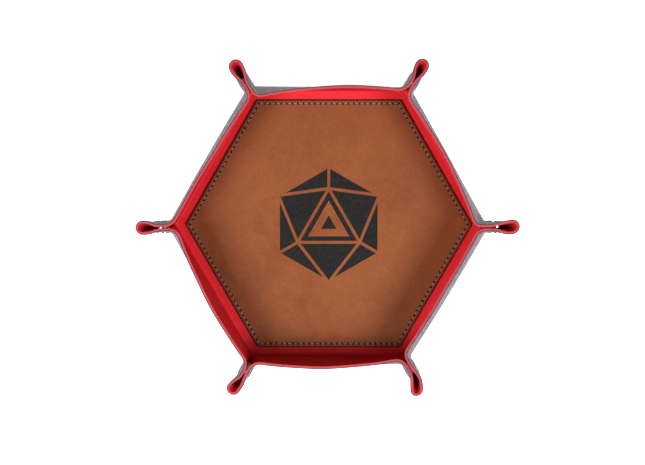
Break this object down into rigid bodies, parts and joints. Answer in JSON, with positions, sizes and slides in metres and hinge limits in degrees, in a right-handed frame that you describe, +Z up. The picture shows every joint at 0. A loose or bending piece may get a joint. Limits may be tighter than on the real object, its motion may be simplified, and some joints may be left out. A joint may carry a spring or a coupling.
{
  "type": "folding dice tray",
  "caption": "Snap-up hexagonal dice tray: soft sheet walls pinched into snapped corner ears round a stiff padded floor; undone, it folds down flat.",
  "frame": {"origin": "centre of the underside, on the surface that the tray stands on", "axes": "+Z up, +X through corner 1, walls facing 30, 90, 150, 210, 270 and 330 degrees from +X"},
  "size_m": [0.2456, 0.2162, 0.0434],
  "materials": {
    "grey_leather": "pebbled matte",
    "red_lining": "soft suede nap",
    "tan_leather": "fine grained satin",
    "board": "plain grey board",
    "thread": "waxed thread",
    "nickel": "polished nickel"
  },
  "bodies": {
    "base": {"underside_leather": "grey_leather", "floor_board": "board", "floor_lining": "red_lining", "play_panel": "tan_leather", "panel_stitching": "thread"},
    "wall_1": {"wall_1_leather": "grey_leather", "wall_1_lining": "red_lining"},
    "wall_2": {"wall_2_leather": "grey_leather", "wall_2_lining": "red_lining"},
    "wall_3": {"wall_3_leather": "grey_leather", "wall_3_lining": "red_lining"},
    "wall_4": {"wall_4_leather": "grey_leather", "wall_4_lining": "red_lining"},
    "wall_5": {"wall_5_leather": "grey_leather", "wall_5_lining": "red_lining"},
    "wall_6": {"wall_6_leather": "grey_leather", "wall_6_lining": "red_lining"},
    "flap_1a": {"flap_1a_leather": "grey_leather", "flap_1a_lining": "red_lining", "snap_1_socket": "nickel"},
    "flap_2b": {"flap_2b_leather": "grey_leather", "flap_2b_lining": "red_lining", "snap_2_stud": "nickel"},
    "flap_2a": {"flap_2a_leather": "grey_leather", "flap_2a_lining": "red_lining", "snap_2_socket": "nickel"},
    "flap_3b": {"flap_3b_leather": "grey_leather", "flap_3b_lining": "red_lining", "snap_3_stud": "nickel"},
    "flap_3a": {"flap_3a_leather": "grey_leather", "flap_3a_lining": "red_lining", "snap_3_socket": "nickel"},
    "flap_4b": {"flap_4b_leather": "grey_leather", "flap_4b_lining": "red_lining", "snap_4_stud": "nickel"},
    "flap_4a": {"flap_4a_leather": "grey_leather", "flap_4a_lining": "red_lining", "snap_4_socket": "nickel"},
    "flap_5b": {"flap_5b_leather": "grey_leather", "flap_5b_lining": "red_lining", "snap_5_stud": "nickel"},
    "flap_5a": {"flap_5a_leather": "grey_leather", "flap_5a_lining": "red_lining", "snap_5_socket": "nickel"},
    "flap_6b": {"flap_6b_leather": "grey_leather", "flap_6b_lining": "red_lining", "snap_6_stud": "nickel"},
    "flap_6a": {"flap_6a_leather": "grey_leather", "flap_6a_lining": "red_lining", "snap_6_socket": "nickel"},
    "flap_1b": {"flap_1b_leather": "grey_leather", "flap_1b_lining": "red_lining", "snap_1_stud": "nickel"}
  },
  "joints": [
    {"name": "wall_1_fold", "type": "hinge", "parent": "base", "child": "wall_1", "pos_m": [0.07794, 0.045, 0.002], "axis": [-0.5, 0.866, 0], "range_deg": [0, 90.5]},
    {"name": "wall_2_fold", "type": "hinge", "parent": "base", "child": "wall_2", "pos_m": [0, 0.09, 0.002], "axis": [-1, 0, 0], "range_deg": [0, 90.5]},
    {"name": "wall_3_fold", "type": "hinge", "parent": "base", "child": "wall_3", "pos_m": [-0.07794, 0.045, 0.002], "axis": [-0.5, -0.866, 0], "range_deg": [0, 90.5]},
    {"name": "wall_4_fold", "type": "hinge", "parent": "base", "child": "wall_4", "pos_m": [-0.07794, -0.045, 0.002], "axis": [0.5, -0.866, 0], "range_deg": [0, 90.5]},
    {"name": "wall_5_fold", "type": "hinge", "parent": "base", "child": "wall_5", "pos_m": [0, -0.09, 0.002], "axis": [1, 0, 0], "range_deg": [0, 90.5]},
    {"name": "wall_6_fold", "type": "hinge", "parent": "base", "child": "wall_6", "pos_m": [0.07794, -0.045, 0.002], "axis": [0.5, 0.866, 0], "range_deg": [0, 90.5]},
    {"name": "flap_1a_fold", "type": "hinge", "parent": "wall_1", "child": "flap_1a", "pos_m": [0.10252, 0.00065, 0.00261], "axis": [0.1602, 0, -0.9871], "range_deg": [0, 56]},
    {"name": "flap_2b_fold", "type": "hinge", "parent": "wall_1", "child": "flap_2b", "pos_m": [0.05182, 0.08846, 0.00261], "axis": [-0.0801, -0.1387, 0.9871], "range_deg": [0, 56]},
    {"name": "flap_2a_fold", "type": "hinge", "parent": "wall_2", "child": "flap_2a", "pos_m": [0.05069, 0.08911, 0.00261], "axis": [0.0801, 0.1387, -0.9871], "range_deg": [0, 56]},
    {"name": "flap_3b_fold", "type": "hinge", "parent": "wall_2", "child": "flap_3b", "pos_m": [-0.05069, 0.08911, 0.00261], "axis": [0.0801, -0.1387, 0.9871], "range_deg": [0, 56]},
    {"name": "flap_3a_fold", "type": "hinge", "parent": "wall_3", "child": "flap_3a", "pos_m": [-0.05182, 0.08846, 0.00261], "axis": [-0.0801, 0.1387, -0.9871], "range_deg": [0, 56]},
    {"name": "flap_4b_fold", "type": "hinge", "parent": "wall_3", "child": "flap_4b", "pos_m": [-0.10252, 0.00065, 0.00261], "axis": [0.1602, 0, 0.9871], "range_deg": [0, 56]},
    {"name": "flap_4a_fold", "type": "hinge", "parent": "wall_4", "child": "flap_4a", "pos_m": [-0.10252, -0.00065, 0.00261], "axis": [-0.1602, 0, -0.9871], "range_deg": [0, 56]},
    {"name": "flap_5b_fold", "type": "hinge", "parent": "wall_4", "child": "flap_5b", "pos_m": [-0.05182, -0.08846, 0.00261], "axis": [0.0801, 0.1387, 0.9871], "range_deg": [0, 56]},
    {"name": "flap_5a_fold", "type": "hinge", "parent": "wall_5", "child": "flap_5a", "pos_m": [-0.05069, -0.08911, 0.00261], "axis": [-0.0801, -0.1387, -0.9871], "range_deg": [0, 56]},
    {"name": "flap_6b_fold", "type": "hinge", "parent": "wall_5", "child": "flap_6b", "pos_m": [0.05069, -0.08911, 0.00261], "axis": [-0.0801, 0.1387, 0.9871], "range_deg": [0, 56]},
    {"name": "flap_6a_fold", "type": "hinge", "parent": "wall_6", "child": "flap_6a", "pos_m": [0.05182, -0.08846, 0.00261], "axis": [0.0801, -0.1387, -0.9871], "range_deg": [0, 56]},
    {"name": "flap_1b_fold", "type": "hinge", "parent": "wall_6", "child": "flap_1b", "pos_m": [0.10252, -0.00065, 0.00261], "axis": [-0.1602, 0, 0.9871], "range_deg": [0, 56]}
  ],
  "couplings": [
    {"joint": "wall_2_fold", "follows": "wall_1_fold", "ratio": 1},
    {"joint": "wall_3_fold", "follows": "wall_1_fold", "ratio": 1},
    {"joint": "wall_4_fold", "follows": "wall_1_fold", "ratio": 1},
    {"joint": "wall_5_fold", "follows": "wall_1_fold", "ratio": 1},
    {"joint": "wall_6_fold", "follows": "wall_1_fold", "ratio": 1},
    {"joint": "flap_1a_fold", "follows": "wall_1_fold", "ratio": 0.61552},
    {"joint": "flap_2b_fold", "follows": "wall_1_fold", "ratio": 0.61552},
    {"joint": "flap_2a_fold", "follows": "wall_1_fold", "ratio": 0.61552},
    {"joint": "flap_3b_fold", "follows": "wall_1_fold", "ratio": 0.61552},
    {"joint": "flap_3a_fold", "follows": "wall_1_fold", "ratio": 0.61552},
    {"joint": "flap_4b_fold", "follows": "wall_1_fold", "ratio": 0.61552},
    {"joint": "flap_4a_fold", "follows": "wall_1_fold", "ratio": 0.61552},
    {"joint": "flap_5b_fold", "follows": "wall_1_fold", "ratio": 0.61552},
    {"joint": "flap_5a_fold", "follows": "wall_1_fold", "ratio": 0.61552},
    {"joint": "flap_6b_fold", "follows": "wall_1_fold", "ratio": 0.61552},
    {"joint": "flap_6a_fold", "follows": "wall_1_fold", "ratio": 0.61552},
    {"joint": "flap_1b_fold", "follows": "wall_1_fold", "ratio": 0.61552}
  ]
}
